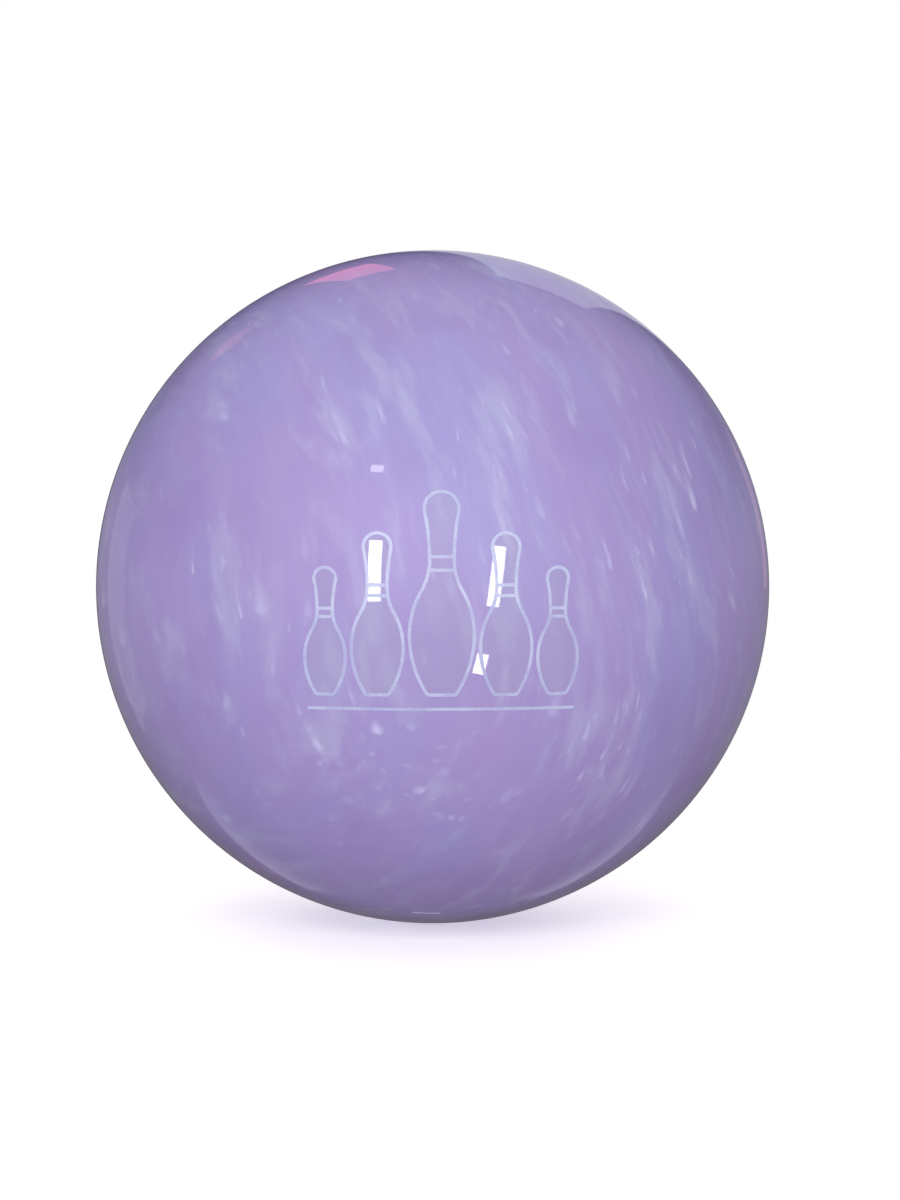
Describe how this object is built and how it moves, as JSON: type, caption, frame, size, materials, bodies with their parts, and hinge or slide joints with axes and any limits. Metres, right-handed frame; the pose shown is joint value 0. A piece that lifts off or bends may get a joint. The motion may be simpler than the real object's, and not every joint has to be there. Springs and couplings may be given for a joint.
{
  "type": "bowling ball",
  "caption": "Undrilled tenpin bowling ball with a lavender pearl cover, an engraved emblem of skittles, a filler core and a weight block.",
  "frame": {"origin": "centre of the ball", "axes": "+Z from the centre through the balance mark, over the middle of the weight block; -Y from the centre through the middle of the emblem, which is the front; +X to the right seen from the front"},
  "size_m": [0.218, 0.218, 0.218],
  "materials": {
    "cover_pearl": "polished pearl polyester resin",
    "core_filler": "cast resin filled with glass bubbles",
    "block_resin": "cast resin filled with dense mineral powder",
    "pin_resin": "polished cast resin",
    "enamel": "satin enamel wiped into engraved lines"
  },
  "bodies": {
    "root": {"coverstock": "cover_pearl", "filler_core": "core_filler", "weight_block": "block_resin", "pin_plug": "pin_resin", "enamel_skittle_1": "enamel", "enamel_skittle_2": "enamel", "enamel_skittle_3": "enamel", "enamel_skittle_4": "enamel", "enamel_skittle_5": "enamel", "enamel_lane_line": "enamel", "enamel_balance_mark": "enamel"}
  },
  "joints": []
}
